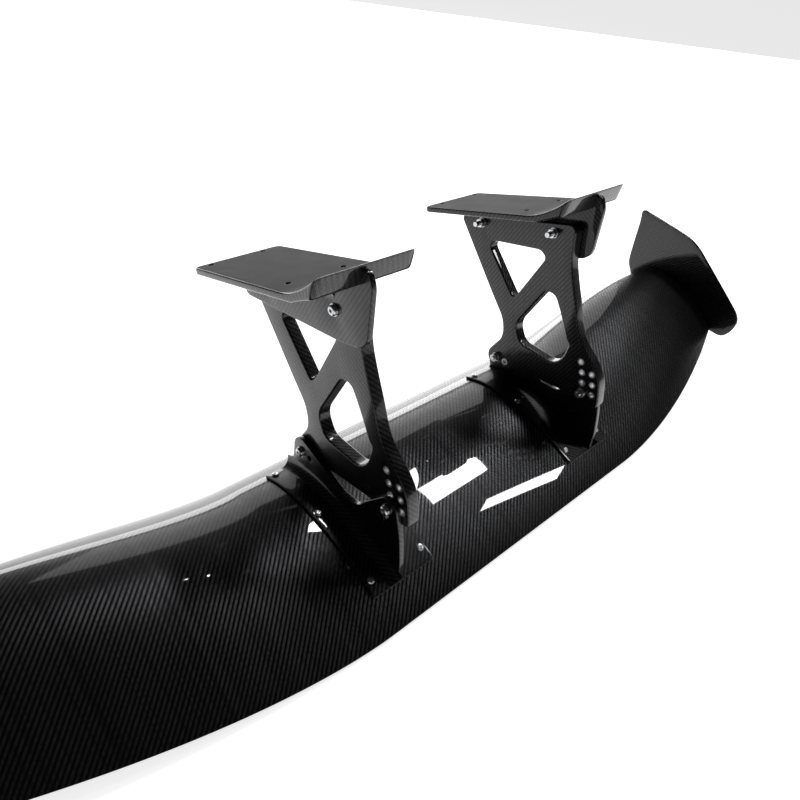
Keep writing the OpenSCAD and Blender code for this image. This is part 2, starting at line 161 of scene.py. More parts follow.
def carbon(name, lean, warpSheenColour, weftShadeColour, roughness, coatRoughness, coatIor):
    # black twill laminate under a smooth clear coat, with painted sheen on the warp tows and painted shade on
    # the weft tows
    made, tree, shader, start = newMaterial(name)
    warp, across, along, shade = twillWeave(start, lean)
    # painted sheen: warp tows get a lighter colour than weft tows, though both are the same black fibre,
    # standing in for how they catch the light
    base = mixColour(start, warp, weftShadeColour, warpSheenColour)
    # painted shade: each tow is darkened towards its edges, where it curves down into the seam
    edge = twill["seamShade"] + (1 - twill["seamShade"]) * across * across
    tone = edge * (twill["toneLow"] + twill["toneSpread"] * shade)
    colour = start.node("ShaderNodeVectorMath", {"operation": "SCALE"}, {0: base, "Scale": tone})
    height = twill["acrossShare"] * across + (1 - twill["acrossShare"]) * along
    bump = start.node("ShaderNodeBump", inputs={
        "Strength": 1.0, "Distance": twill["crown"], "Height": height})
    setShader(tree, shader, Base_Color=colour, Roughness=roughness + 0.1 * (1 - across), Normal=bump,
              Metallic=0.8, Coat_Weight=1.0, Coat_Roughness=coatRoughness, Coat_IOR=coatIor)
    return made


def brushedSteel(name, colour, roughness, streak):
    # bright metal with fine turning marks and slightly uneven polish
    made, tree, shader, start = newMaterial(name)
    place = start.node("ShaderNodeTexCoord", output="Object")
    long = start.node("ShaderNodeVectorMath", {"operation": "MULTIPLY"}, {0: place, 1: streak})
    marks = start.node("ShaderNodeTexNoise", inputs={"Vector": long, "Scale": 1.0, "Detail": 4.0})
    cloud = start.node("ShaderNodeTexNoise", inputs={"Vector": place, "Scale": 160.0, "Detail": 3.0})
    bump = start.node("ShaderNodeBump", inputs={"Strength": 0.35, "Distance": 0.05 * mm, "Height": marks})
    dull = tuple(0.72 * c for c in colour)
    setShader(tree, shader, Base_Color=mixColour(start, cloud, dull, colour), Metallic=1.0,
              Roughness=roughness + 0.25 * (marks - 0.5) + 0.15 * cloud, Normal=bump)
    return made


def coreBoard(name):
    # pale bonded core with a fine grain, inside the blade
    made, tree, shader, start = newMaterial(name)
    place = start.node("ShaderNodeTexCoord", output="Object")
    long = start.node("ShaderNodeVectorMath", {"operation": "MULTIPLY"}, {0: place, 1: (30, 400, 400)})
    grain = start.node("ShaderNodeTexNoise", inputs={"Vector": long, "Scale": 1.0, "Detail": 5.0})
    bump = start.node("ShaderNodeBump", inputs={"Strength": 0.5, "Distance": 0.2 * mm, "Height": grain})
    setShader(tree, shader, Base_Color=mixColour(start, grain, (0.36, 0.25, 0.12), (0.62, 0.47, 0.27)),
              Roughness=0.7 + 0.2 * grain, Normal=bump)
    return made


def satinLaminate(name, colour, roughness):
    # dull dark laminate: clouds of sheen, fine peel and a scatter of paler specks
    made, tree, shader, start = newMaterial(name)
    place = start.node("ShaderNodeTexCoord", output="Object")
    cloud = start.node("ShaderNodeTexNoise", inputs={"Vector": place, "Scale": 38.0, "Detail": 4.0})
    peel = start.node("ShaderNodeTexNoise", inputs={"Vector": place, "Scale": 900.0, "Detail": 3.0})
    bump = start.node("ShaderNodeBump", inputs={"Strength": 0.4, "Distance": 0.06 * mm, "Height": peel})
    pale = tuple(1.35 * c for c in colour)
    dark = tuple(0.75 * c for c in colour)
    setShader(tree, shader, Base_Color=mixColour(start, 0.6 * cloud + 0.4 * peel, dark, pale),
              Roughness=roughness + 0.15 * (cloud - 0.5), Normal=bump, Coat_Weight=0.0)
    shader.inputs["Specular IOR Level"].default_value = 0.06
    return made


# the warp and weft colours below are painted sheen and painted shade on one black fibre
bladeTwill = carbon("bladeTwill", lean=1, warpSheenColour=(0.06, 0.06, 0.064), weftShadeColour=(0.003, 0.003, 0.0035),
                    roughness=0.26, coatRoughness=0.02, coatIor=1.5)
standTwill = carbon("standTwill", lean=-1, warpSheenColour=(0.034, 0.034, 0.037),
                    weftShadeColour=(0.002, 0.002, 0.0025), roughness=0.28, coatRoughness=0.03, coatIor=1.38)
plateTwill = carbon("plateTwill", lean=1, warpSheenColour=(0.02, 0.02, 0.022), weftShadeColour=(0.002, 0.002, 0.0025),
                    roughness=0.3, coatRoughness=0.015, coatIor=1.45)
satin = satinLaminate("satinLaminate", (0.022, 0.022, 0.023), roughness=0.55)
steel = brushedSteel("stainless", (0.72, 0.73, 0.75), roughness=0.2, streak=(300, 2600, 2600))
alloy = brushedSteel("turnedAlloy", (0.9, 0.9, 0.91), roughness=0.24, streak=(2600, 300, 300))
core = coreBoard("coreBoard")
print("materials made")


# ---- mesh helpers ----

def makeShell(verts, quads=None, quadUv=None, tris=None, triUv=None):
    # one closed surface; its faces are turned round if its volume comes out negative
    verts = np.asarray(verts, float)
    quads = np.zeros((0, 4), int) if quads is None else quads
    tris = np.zeros((0, 3), int) if tris is None else tris
    quadUv = np.zeros((0, 4, 2)) if quadUv is None else quadUv
    triUv = np.zeros((0, 3, 2)) if triUv is None else triUv
    corners = np.concatenate([quads[:, [0, 1, 2]], quads[:, [0, 2, 3]], tris])
    a, b, c = (verts[corners[:, n]] for n in range(3))
    if np.einsum("ij,ij->i", a, np.cross(b, c)).sum() < 0:
        quads, quadUv, tris, triUv = quads[:, ::-1], quadUv[:, ::-1], tris[:, ::-1], triUv[:, ::-1]
    return verts, quads, quadUv, tris, triUv


def putMesh(name, shells, materials, body, replaced):
    # joins shells into one mesh object and registers it with the frame; each shell has a material for
    # its quads and one for its triangles
    mesh = bpy.data.meshes.new(name)
    base, allQuads, allTris = 0, [], []
    for verts, quads, quadUv, tris, triUv in shells:
        allQuads.append(quads + base)
        allTris.append(tris + base)
        base += len(verts)
    verts = np.concatenate([s[0] for s in shells]) * mm
    quads, tris = np.concatenate(allQuads), np.concatenate(allTris)
    uv = np.concatenate([np.concatenate([s[2] for s in shells]).reshape(-1, 2),
                         np.concatenate([s[4] for s in shells]).reshape(-1, 2)]) * mm
    mesh.vertices.add(len(verts))
    mesh.vertices.foreach_set("co", verts.ravel())
    loops = np.concatenate([quads.ravel(), tris.ravel()])
    mesh.loops.add(len(loops))
    mesh.loops.foreach_set("vertex_index", loops)
    mesh.polygons.add(len(quads) + len(tris))
    starts = np.concatenate([np.arange(len(quads)) * 4, 4 * len(quads) + np.arange(len(tris)) * 3])
    mesh.polygons.foreach_set("loop_start", starts)
    mesh.update(calc_edges=True)
    mesh.uv_layers.new(name="weave").data.foreach_set("uv", uv.ravel())
    mesh.polygons.foreach_set("use_smooth", np.ones(len(mesh.polygons), bool))
    mesh.set_sharp_from_angle(angle=math.radians(38))
    used = list(dict.fromkeys(m for pair in materials for m in pair))
    for material in used:
        mesh.materials.append(material)
    quadSlots = np.repeat([used.index(pair[0]) for pair in materials], [len(s[1]) for s in shells])
    triSlots = np.repeat([used.index(pair[1]) for pair in materials], [len(s[3]) for s in shells])
    mesh.polygons.foreach_set("material_index", np.concatenate([quadSlots, triSlots]).astype(np.int32))
    made = bpy.data.objects.new(name, mesh)
    bpy.context.scene.collection.objects.link(made)
    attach(made, body)
    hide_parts(replaced)
    print("made", name, len(mesh.polygons), "faces")


def gridQuads(rows, columns, wrap):
    # quads of a grid of points, numbered row by row; wrap joins the last column to the first
    i, j = np.meshgrid(np.arange(rows - 1), np.arange(columns if wrap else columns - 1), indexing="ij")
    i, j = i.ravel(), j.ravel()
    k = (j + 1) % columns
    return np.stack([i * columns + j, i * columns + k, (i + 1) * columns + k, (i + 1) * columns + j], 1), i, j


def roundCorners(points, radius, steps=7, closed=True):
    # each corner becomes a quadratic curve that leaves its two sides at most `radius` away
    p = np.array(points, float)
    before, after = np.roll(p, 1, 0) - p, np.roll(p, -1, 0) - p
    lenBefore, lenAfter = np.linalg.norm(before, axis=1), np.linalg.norm(after, axis=1)
    reach = np.minimum(np.minimum(radius, 0.48 * lenBefore), 0.48 * lenAfter)
    a = p + before * (reach / lenBefore)[:, None]
    b = p + after * (reach / lenAfter)[:, None]
    s = np.linspace(0, 1, steps)[None, :, None]
    curve = (1 - s) ** 2 * a[:, None] + 2 * s * (1 - s) * p[:, None] + s ** 2 * b[:, None]
    if closed:
        return curve.reshape(-1, 2)
    return np.concatenate([p[:1], curve[1:-1].reshape(-1, 2), p[-1:]])


def arcPoints(centre, radius, start, end, count):
    # points at even angles, in degrees, on a circle
    angle = np.radians(np.linspace(start, end, count))
    return np.array(centre) + radius * np.stack([np.cos(angle), np.sin(angle)], 1)


def circle(centre, radius, count=48):
    # a whole circle, without its first point again at the end
    return arcPoints(centre, radius, 0, 360 - 360 / count, count)


def evenLoop(loop, step):
    # the closed loop again, its points about `step` apart
    closed = np.concatenate([loop, loop[:1]])
    run = np.concatenate([[0], np.cumsum(np.linalg.norm(np.diff(closed, axis=0), axis=1))])
    at = np.linspace(0, run[-1], max(8, int(run[-1] / step)), endpoint=False)
    return np.stack([np.interp(at, run, closed[:, n]) for n in range(2)], 1)


def turned(loop, anticlockwise):
    # the loop running the way asked for, by the sign of its area
    x, y = loop.T
    area = (x * np.roll(y, -1) - y * np.roll(x, -1)).sum()
    return loop if (area > 0) == anticlockwise else loop[::-1]


def insideLoop(points, loop):
    # even-odd test of every point against every side of the loop
    x, y = points[:, :1], points[:, 1:]
    ax, ay = loop[:, 0][None], loop[:, 1][None]
    bx, by = np.roll(ax, -1, 1), np.roll(ay, -1, 1)
    crossing = ((ay > y) != (by > y)) & (x < (bx - ax) * (y - ay) / np.where(by == ay, 1e-9, by - ay) + ax)
    return crossing.sum(1) % 2 == 1


plateMesh = {
    "nudge": 0.02,      # how far a rim shifts for the triangulation
    "nudgeTurn": 2.4,   # how far its sine moves on from point to point
    "keepOff": 0.4,     # spare points stay this share of a grid step off the rims
}
holeEdge = 0.4          # rounding of a bolt hole's rim


def plateShell(outline, holes, thickness, edges, lift, grid=0, steps=5, lean=(1, 1)):
    # a plate: rings follow each loop, drawn in by edge (1 - cos a) at depth edge (1 - sin a), and the
    # two faces are triangles between the innermost rings; lift places (along, across, depth) in space;
    # edges has one rounding for each loop, and lean turns the weave over on the front or the back
    loops = [turned(outline, True)] + [turned(h, False) for h in holes]
    angle = np.linspace(math.pi / 2, 0, steps)
    flat, deep, quads, quadUv, front, links, nudge = ([] for _ in range(7))
    base = 0
    for loop, edge in zip(loops, edges):
        inset = np.concatenate([edge * (1 - np.cos(angle)), edge * (1 - np.cos(angle[::-1]))])
        depth = edge * (1 - np.sin(angle))
        depth = np.concatenate([depth, thickness - depth[::-1]])
        n = len(loop)
        run = np.roll(loop, -1, 0) - np.roll(loop, 1, 0)
        inward = np.stack([-run[:, 1], run[:, 0]], 1) / np.linalg.norm(run, axis=1)[:, None]
        rings = loop[None] + inset[:, None, None] * inward[None]
        flat.append(rings.reshape(-1, 2))
        nudge.append(inward * (plateMesh["nudge"] * np.sin(plateMesh["nudgeTurn"] * np.arange(n)))[:, None])
        deep.append(np.repeat(depth, n))
        faces, i, j = gridQuads(len(inset), n, True)
        quads.append(faces[:, [0, 3, 2, 1]] + base)
        side = np.linalg.norm(np.roll(loop, -1, 0) - loop, axis=1)
        round_ = np.concatenate([[0], np.cumsum(side)])
        level = np.concatenate([[0], np.cumsum(np.hypot(np.diff(inset), np.diff(depth)))])
        corners = [(round_[j], level[i]), (round_[j], level[i + 1]),
                   (round_[j + 1], level[i + 1]), (round_[j + 1], level[i])]
        quadUv.append(np.stack([np.stack(corner, 1) for corner in corners], 1))
        front.append(base + np.arange(n))
        links.append((len(np.concatenate(front)) - n, n))
        base += n * len(inset)
    rim = np.concatenate(front)
    flat, deep = np.concatenate(flat), np.concatenate(deep)
    rimFlat = flat[rim] + np.concatenate(nudge)  # no three in a straight line, so no flat triangles
    sides = np.concatenate([
        start + np.stack([np.arange(n), (np.arange(n) + 1) % n], 1) for start, n in links])
    spare = np.zeros((0, 2))
    if grid:
        low, high = rimFlat.min(0), rimFlat.max(0)
        gx, gy = np.meshgrid(*(np.arange(low[n] + grid / 2, high[n], grid) for n in range(2)))
        spare = np.stack([gx.ravel(), gy.ravel()], 1)
        gap = np.linalg.norm(spare[:, None] - rimFlat[None], axis=2).min(1)
        spare = spare[gap > plateMesh["keepOff"] * grid]
    points = np.concatenate([rimFlat, spare])
    found = geometry.delaunay_2d_cdt(points.tolist(), sides.tolist(), [], 0, 1e-7)
    source = np.array([o[0] if o else -1 for o in found[3]])
    tris = source[np.array(found[2])]
    tris = tris[(tris >= 0).all(1)]
    middle = points[tris].mean(1)
    keep = insideLoop(middle, rimFlat[:links[0][1]])
    for start, n in links[1:]:
        keep &= ~insideLoop(middle, rimFlat[start:start + n])
    tris = tris[keep]
    total = len(flat)
    count = len(spare)
    frontIndex = np.concatenate([rim, total + np.arange(count)])
    lastRing = np.concatenate([f + (len(inset) - 1) * n for f, (start, n) in zip(front, links)])
    backIndex = np.concatenate([lastRing, total + count + np.arange(count)])
    flatAll = np.concatenate([flat, spare, spare])
    deepAll = np.concatenate([deep, np.zeros(count), np.full(count, thickness)])
    verts = lift(flatAll[:, 0], flatAll[:, 1], deepAll)
    allTris = np.concatenate([frontIndex[tris], backIndex[tris][:, ::-1]])
    triUv = np.concatenate([points[tris] * (lean[0], 1), points[tris][:, ::-1] * (lean[1], 1)])
    return makeShell(verts, np.concatenate(quads), np.concatenate(quadUv), allTris, triUv)


def loftShell(rings, uv):
    # closed surface through closed rings of points (rows), with a strip of quads across each end;
    # point k of a ring faces point m-1-k
    rows, columns = rings.shape[:2]
    quads, i, j = gridQuads(rows, columns, True)
    quadUv = np.stack([uv[i, j], uv[i, j + 1], uv[i + 1, j + 1], uv[i + 1, j]], 1)
    k = np.arange(columns // 2 - 1)
    strip = np.stack([k, columns - 1 - k, columns - 2 - k, k + 1], 1)
    ends = np.concatenate([strip, (strip + (rows - 1) * columns)[:, ::-1]])
    endUv = np.concatenate([uv[0][strip], uv[-1][strip[:, ::-1]]])
    return makeShell(rings.reshape(-1, 3), np.concatenate([quads, ends]), np.concatenate([quadUv, endUv]))


# ---- blade ----

blade = {
    "span": 1600, "flatHalf": 280,
    "leading": (124, 6), "trailing": (-219, 4),
    "teSweep": 114, "teRise": 41, "leSweep": -10, "leRise": 86,
    "thick": 0.14, "camber": 0.128, "camberAt": 0.37,
    "tePower": 1.7, "lePower": 1.5, "leDelay": 50,
    "skin": 2.3, "teHalf": 1.75, "endGap": 0.1,
    "noseT": 0.008, "noseShare": 0.3, "leastShare": 0.15,
    "stations": 181, "across": 110,
}


def bladeEnds(x):
    # the trailing edge sweeps and rises as a power of the way from the straight middle to the tip; the
    # leading edge starts leDelay further out and rises as a power of the sine of a quarter turn
    half = blade["span"] / 2
    straight = blade["flatHalf"]
    late = straight + blade["leDelay"]
    te = np.clip((np.abs(x) - straight) / (half - straight), 0, 1) ** blade["tePower"]
    s = np.clip((np.abs(x) - late) / (half - late), 0, 1)
    le = np.sin(math.pi / 2 * s) ** blade["lePower"]
    front = np.array(blade["leading"]) + np.stack([blade["leSweep"] * te, blade["leRise"] * le], -1)
    rear = np.array(blade["trailing"]) + np.stack([blade["teSweep"] * te, blade["teRise"] * te], -1)
    return front, rear


def bladePoint(x, t, side, lift=None):
    # four-digit section: camber line of two parabolas, half thickness from the square-root polynomial plus
    # a blunt trailing edge; `lift` replaces the height above the camber line
    front, rear = bladeEnds(x)
    chord = rear - front
    length = np.linalg.norm(chord, axis=-1)
    along = chord / length[..., None]
    up = np.stack([along[..., 1], -along[..., 0]], -1)
    m, p = blade["camber"], blade["camberAt"]
    ahead = t < p
    line = np.where(ahead, m / p ** 2 * (2 * p * t - t * t),
                    m / (1 - p) ** 2 * (1 - 2 * p + 2 * p * t - t * t))
    tilt = np.arctan(2 * m * (p - t) / np.where(ahead, p, 1 - p) ** 2)
    shape = 0.2969 * np.sqrt(t) - 0.126 * t - 0.3516 * t ** 2 + 0.2843 * t ** 3 - 0.1015 * t ** 4
    outer = 5 * blade["thick"] * shape * length + blade["teHalf"] * t
    height = outer if lift is None else lift(outer, t)
    normal = up * np.cos(tilt)[..., None] - along * np.sin(tilt)[..., None]
    flat = front + along * (t * length)[..., None] + up * (line * length)[..., None] \
        + side * height[..., None] * normal
    return np.concatenate([x[..., None], flat], -1)


def innerHeight(height, t):
    # the skin's inner surface, drawn close to the camber line at the nose and the tail
    thinned = np.maximum(height - blade["skin"], blade["leastShare"] * height)
    return np.where(t < blade["noseT"], blade["noseShare"] * height, thinned)


def bladeSkin(name, side, replaced):
    # outer surface from nose to tail, then the inner surface back, carried along the span
    half = blade["span"] / 2 - blade["endGap"]
    x = np.linspace(-half, half, blade["stations"])
    t = (1 - np.cos(np.linspace(0, math.pi, blade["across"]))) / 2
    xx, tt = np.meshgrid(x, t, indexing="ij")
    outer = bladePoint(xx, tt, side)
    inner = bladePoint(xx, tt[:, ::-1], side, innerHeight)
    rings = np.concatenate([outer, inner], 1)
    rings[:, -1] = 0.5 * (outer[:, 0] + inner[:, -2])
    step = np.linalg.norm(np.diff(outer, axis=1), axis=2)
    run = np.concatenate([np.zeros((len(x), 1)), np.cumsum(step, 1)], 1)
    v = np.concatenate([run, run[:, ::-1], run[:, :1]], 1)
    uv = np.stack([np.repeat(x[:, None], v.shape[1], 1), v], -1)
    putMesh(name, [loftShell(rings, uv)], [(bladeTwill, bladeTwill)], "wing", replaced)


bladeSkin("bladeSuctionSkin", 1, "suction_skin")
bladeSkin("bladePressureSkin", -1, "pressure_skin")


# ---- end plates ----

endPlate = {
    "outline": [
        (141, 236), (90, 229), (37, 221), (10, 216), (-15.5, 204), (-70, 163), (-125, 121), (-146, 104),
        (-156, 88), (-152, 62), (-137, 40), (-60, 44), (40, 58), (100, 74), (117, 86), (130, 104), (133, 124),
        (135, 174), (136, 211)],
    "corner": 13, "thickness": 6, "edge": 1.6, "spacing": 2.5, "grid": 12,
}


def makeEndPlate(name, side, replaced):
    e = endPlate
    outline = evenLoop(roundCorners(e["outline"], e["corner"], 9), e["spacing"])

    def lift(a, b, depth):
        return np.stack([side * (blade["span"] / 2 + depth), a, b], 1)

    shell = plateShell(outline, [], e["thickness"], [e["edge"]], lift, grid=e["grid"])
    putMesh(name, [shell], [(plateTwill, plateTwill)], "wing", replaced)


makeEndPlate("endPlateLeft", 1, "end_plate_left")
makeEndPlate("endPlateRight", -1, "end_plate_right")


# ---- brackets ----

pivot = np.array([43.0, 109.0])

bracket = {
    "x0": 164, "x1": 276, "gap": 0.25, "flange": 4, "edge": 1.2, "corner": 6,
    "t0": 0.176, "t1": 0.862,
    "finX0": 225, "finX1": 233, "finStart": (60, 90), "finCorner": 20, "footCorner": 4,
    "footT": (0.858, 0.187), "footRise": 1.5,
    "fillet": 16, "filletT": (0.188, 0.857), "filletSteps": 17, "filletIn": 1.5, "filletDip": 1.2,
    "screwX": (174, 266), "screwT": (0.213, 0.478, 0.80), "screwHole": 3.3, "screwEdge": 0.3,
    "lobe": (43, 115), "lobeR": 17, "rearLobe": (-136, 139), "rearR": 18.5,
    "waist": [(-20, 110), (-43, 100.6), (-82, 101), (-98, 124)],
    "heel": [(-165, 110), (-173, 65)],
    "boltHole": 4.25, "spareBack": 20, "slotR": 4.3, "lockR": 180, "lockAngle": 9.5, "pitch": 5.8,
}


def surfaceTables():
    # place and unit normal of the blade's top against the distance round it from the nose, at the middle
    t = np.linspace(0.001, 0.999, 1200)
    place = bladePoint(np.zeros_like(t), t, 1)[:, 1:]
    run = np.concatenate([[0], np.cumsum(np.linalg.norm(np.diff(place, axis=0), axis=1))])
    slope = np.gradient(place, run, axis=0)
    normal = np.stack([slope[:, 1], -slope[:, 0]], 1)
    normal /= np.linalg.norm(normal, axis=1)[:, None]
    return t, run, place, normal


topT, topRun, topPlace, topNormal = surfaceTables()


def onTop(run, height):
    # the point `height` above the blade's top at distance `run` round it, as y and z
    place = np.stack([np.interp(run, topRun, topPlace[:, n]) for n in range(2)], -1)
    normal = np.stack([np.interp(run, topRun, topNormal[:, n]) for n in range(2)], -1)
    return place + normal * np.asarray(height)[..., None]


def runAt(t):
    return np.interp(t, topT, topRun)


def flangeShell(side):
    b = bracket
    front, rear = runAt(b["t0"]), runAt(b["t1"])
    corners = [(b["x0"], front), (b["x1"], front), (b["x1"], rear), (b["x0"], rear)]
    outline = evenLoop(roundCorners(corners, b["corner"], 8), 3)
    holes = [circle((x, runAt(t)), b["screwHole"], 24) for x in b["screwX"] for t in b["screwT"]]

    def lift(a, run, depth):
        yz = onTop(run, b["gap"] + b["flange"] - depth)
        return np.stack([side * a, yz[:, 0], yz[:, 1]], 1)

    edges = [b["edge"]] + [b["screwEdge"]] * len(holes)
    return plateShell(outline, holes, b["flange"], edges, lift, grid=6)


def slotLoop():
    # a one-pitch arc slot about the pivot with round ends
    b = bracket
    high, low = 180 - b["lockAngle"], 180 - b["lockAngle"] + b["pitch"]
    highPlace, lowPlace = arcPoints(pivot, b["lockR"], high, low, 2)
    outer = arcPoints(pivot, b["lockR"] + b["slotR"], high, low, 12)
    inner = arcPoints(pivot, b["lockR"] - b["slotR"], low, high, 12)
    lowEnd = arcPoints(lowPlace, b["slotR"], low, low + 180, 12)[1:-1]
    highEnd = arcPoints(highPlace, b["slotR"], high + 180, high + 360, 12)[1:-1]
    return np.concatenate([outer, lowEnd, inner, highEnd])


def finShell(side):
    b = bracket
    top = np.concatenate([
        [b["finStart"]], arcPoints(b["lobe"], b["lobeR"], 0, 120, 8), b["waist"],
        arcPoints(b["rearLobe"], b["rearR"], 50, 175, 8), b["heel"]])
    top = roundCorners(top, b["finCorner"], 7, closed=False)
    foot = onTop(np.linspace(*runAt(b["footT"]), 60), np.full(60, b["gap"] + b["footRise"]))
    outline = evenLoop(roundCorners(np.concatenate([top, foot]), b["footCorner"], 5), 2)
    spareHole = pivot - (b["spareBack"], 0)
    holes = [circle(pivot, b["boltHole"]), circle(spareHole, b["boltHole"]), slotLoop()]

    def lift(a, z, depth):
        return np.stack([side * (b["finX1"] - depth), a, z], 1)

    edges = [b["edge"]] + [holeEdge] * len(holes)
    return plateShell(outline, holes, b["finX1"] - b["finX0"], edges, lift)


def filletShell(side):
    # a quarter-round hollow between fin and flange, carried along the blade's top
    b = bracket
    base, r = b["gap"] + b["flange"], b["fillet"]
    steps = b["filletSteps"]
    run = np.linspace(*runAt(b["filletT"]), 90)
    angle = np.linspace(0, math.pi / 2, steps)
    buried = np.linspace(base + r, base - b["filletDip"], steps)
    x = np.concatenate([b["finX1"] + r * (1 - np.sin(angle)), np.full(steps, b["finX1"] - b["filletIn"])])
    height = np.concatenate([base + r * (1 - np.cos(angle)), buried])
    yz = onTop(np.repeat(run[:, None], len(x), 1), np.repeat(height[None], len(run), 0))
    rings = np.concatenate([np.broadcast_to(side * x, yz.shape[:2])[..., None], yz], -1)
    step = np.concatenate([[0], np.cumsum(np.hypot(np.diff(x), np.diff(height)))])
    step = np.concatenate([step, step[-1:] + 1])
    uv = np.stack(np.meshgrid(run, step + b["finX1"], indexing="ij")[::-1], -1)
    return loftShell(rings, uv)


def makeBracket(name, side, replaced):
    shells = [flangeShell(side), finShell(side), filletShell(side)]
    putMesh(name, shells, [(standTwill, standTwill)] * 3, "wing", replaced)


makeBracket("bracketLeft", 1, "bracket_left")
makeBracket("bracketRight", -1, "bracket_right")


# ---- stands ----

stand = {
    "tilt": 17.4, "x0": 205, "x1": 224.7, "edge": 2.6,
    "top": [(-166.5, 249), (68.5, 250), (5, 118), (-16.5, 76), (-17, 52), (-11.5, 37)],
    "footR": 20, "footArc": (45, -85), "corner": 16, "fineStep": 2,
    "rear": [
        (-22, -21.5), (-36, -17), (-58.5, -17), (-137.5, -29.5), (-208, -48.5), (-211, -26), (-212.5, 4),
        (-200, 30), (-177, 61), (-169.5, 89), (-167, 117.5), (-161, 155), (-157, 191)],
    "upperCut": [(-4, 210), (-99, 204), (-109, 192), (-51, 125), (-40, 118), (5, 199.5)],
    "lowerCut": [
        (-109.5, 139), (-51, 77), (-47, 63), (-54, 36), (-120, 15), (-141, 27), (-154.5, 55), (-149, 62),
        (-137, 106), (-127, 134)],
    "cutCorner": 12, "bushR": 6.02, "spare": (-19.1, -6), "trunkBolts": ((20, 239), (-125, 234)),
}


def inStand(x, forward, up):
    # stand coordinates from the pivot, turned to the rest angle
    c, s = math.cos(math.radians(stand["tilt"])), math.sin(math.radians(stand["tilt"]))
    return np.stack([x, pivot[0] + forward * c + up * s, pivot[1] - forward * s + up * c], -1)


def bushPlaces():
    # pivot, spare pivot, four locking holes about the pivot and three about the spare
    b = bracket
    angle = np.radians(b["lockAngle"] - stand["tilt"] + b["pitch"] * np.arange(4))
    column = b["lockR"] * np.stack([-np.cos(angle), np.sin(angle)], 1)
    fine = angle[:3] + math.radians(stand["fineStep"])
    second = np.array(stand["spare"]) + b["lockR"] * np.stack([-np.cos(fine), np.sin(fine)], 1)
    return np.concatenate([[(0, 0)], [stand["spare"]], column, second])


def makePillar(name, side, body, replaced):
    s = stand
    corners = np.concatenate([s["top"], arcPoints((0, 0), s["footR"], *s["footArc"], 9), s["rear"]])
    outline = evenLoop(roundCorners(corners, s["corner"], 8), 2)
    holes = [evenLoop(roundCorners(s[cut], s["cutCorner"], 8), 2) for cut in ("upperCut", "lowerCut")]
    holes += [circle(p, s["bushR"]) for p in bushPlaces()]
    holes += [circle(p, bracket["boltHole"]) for p in s["trunkBolts"]]

    def lift(a, b, depth):
        return inStand(side * (s["x1"] - depth), a, b)

    edges = [s["edge"]] * 3 + [holeEdge] * (len(holes) - 2)
    shell = plateShell(outline, holes, s["x1"] - s["x0"], edges, lift, steps=8, lean=(1, -1))
    putMesh(name, [shell], [(standTwill, standTwill)], body, replaced)


makePillar("pillarLeft", 1, "stand_left", "pillar_left")
makePillar("pillarRight", -1, "stand_right", "pillar_right")


# ---- trunk mounts ----

trunk = {
    "inner": 150, "outerFront": 288, "outerLip": 300, "height": 270,
    "thickness": 9, "edge": 2.2, "corner": 11,
    "front": 101, "lipStart": -112, "lipRun": 78, "lipRise": 27.5, "lipPower": 1.8,
    "under": [(101, 261), (-132, 261), (-153, 266.5), (-177.5, 271.5)], "lean": 12.5,
    "holeX": (184, 267), "holeU": (90, -89), "holeR": 4.25,
    "finX0": 224.8, "finX1": 233, "finCorner": 10, "finEdge": 1.6,
    "fillet": 14, "filletU": (86, -128), "filletSteps": 13, "filletIn": 1.2,
    "fin": [
        (92, 266), (72, 231), (67, 223), (-119, 195), (-164, 192), (-179.5, 201.5), (-199, 270),
        (-195, 288), (-186, 290), (-140, 268)],
}


def trunkPath():
    # top of the plate from its front edge: straight, then rising as a power of the way along the lip
    t = trunk
    s = np.linspace(0, 1, 40)
    lip = np.stack([t["lipStart"] - t["lipRun"] * s, t["height"] + t["lipRise"] * s ** t["lipPower"]], 1)
    path = np.concatenate([[(t["front"], t["height"])], lip])
    run = np.concatenate([[0], np.cumsum(np.linalg.norm(np.diff(path, axis=0), axis=1))])
    return path, run


def trunkPlateShell(side):
    t = trunk
    path, run = trunkPath()
    # the underside stays below the top, and falls `lean` ahead of it at the tip
    forward = path[:, 0] + t["lean"] * np.clip((t["lipStart"] - path[:, 0]) / t["lipRun"], 0, 1) ** 2
    below = np.array(t["under"][::-1], float)
    bottom = np.stack([forward, np.interp(forward, below[:, 0], below[:, 1])], 1)
    corners = [(t["inner"], 0), (t["outerFront"], 0), (t["outerLip"], run[-1]), (t["inner"], run[-1])]
    outline = evenLoop(roundCorners(corners, t["corner"], 8), 3)
    holes = [circle((x, t["front"] - u), t["holeR"], 24) for x in t["holeX"] for u in t["holeU"]]

    def lift(a, b, depth):
        share = (depth / t["thickness"])[:, None]
        upper = np.stack([np.interp(b, run, path[:, n]) for n in range(2)], -1)
        lower = np.stack([np.interp(b, run, bottom[:, n]) for n in range(2)], -1)
        place = upper + (lower - upper) * share
        return inStand(side * a, place[:, 0], place[:, 1])

    edges = [t["edge"]] + [holeEdge] * len(holes)
    return plateShell(outline, holes, t["thickness"], edges, lift, grid=7)


def trunkFinShell(side):
    t = trunk
    outline = evenLoop(roundCorners(t["fin"], t["finCorner"], 8), 2)
    holes = [circle(p, bracket["boltHole"]) for p in stand["trunkBolts"]]

    def lift(a, b, depth):
        return inStand(side * (t["finX1"] - depth), a, b)

    edges = [t["finEdge"]] + [holeEdge] * len(holes)
    return plateShell(outline, holes, t["finX1"] - t["finX0"], edges, lift, lean=(-1, 1))


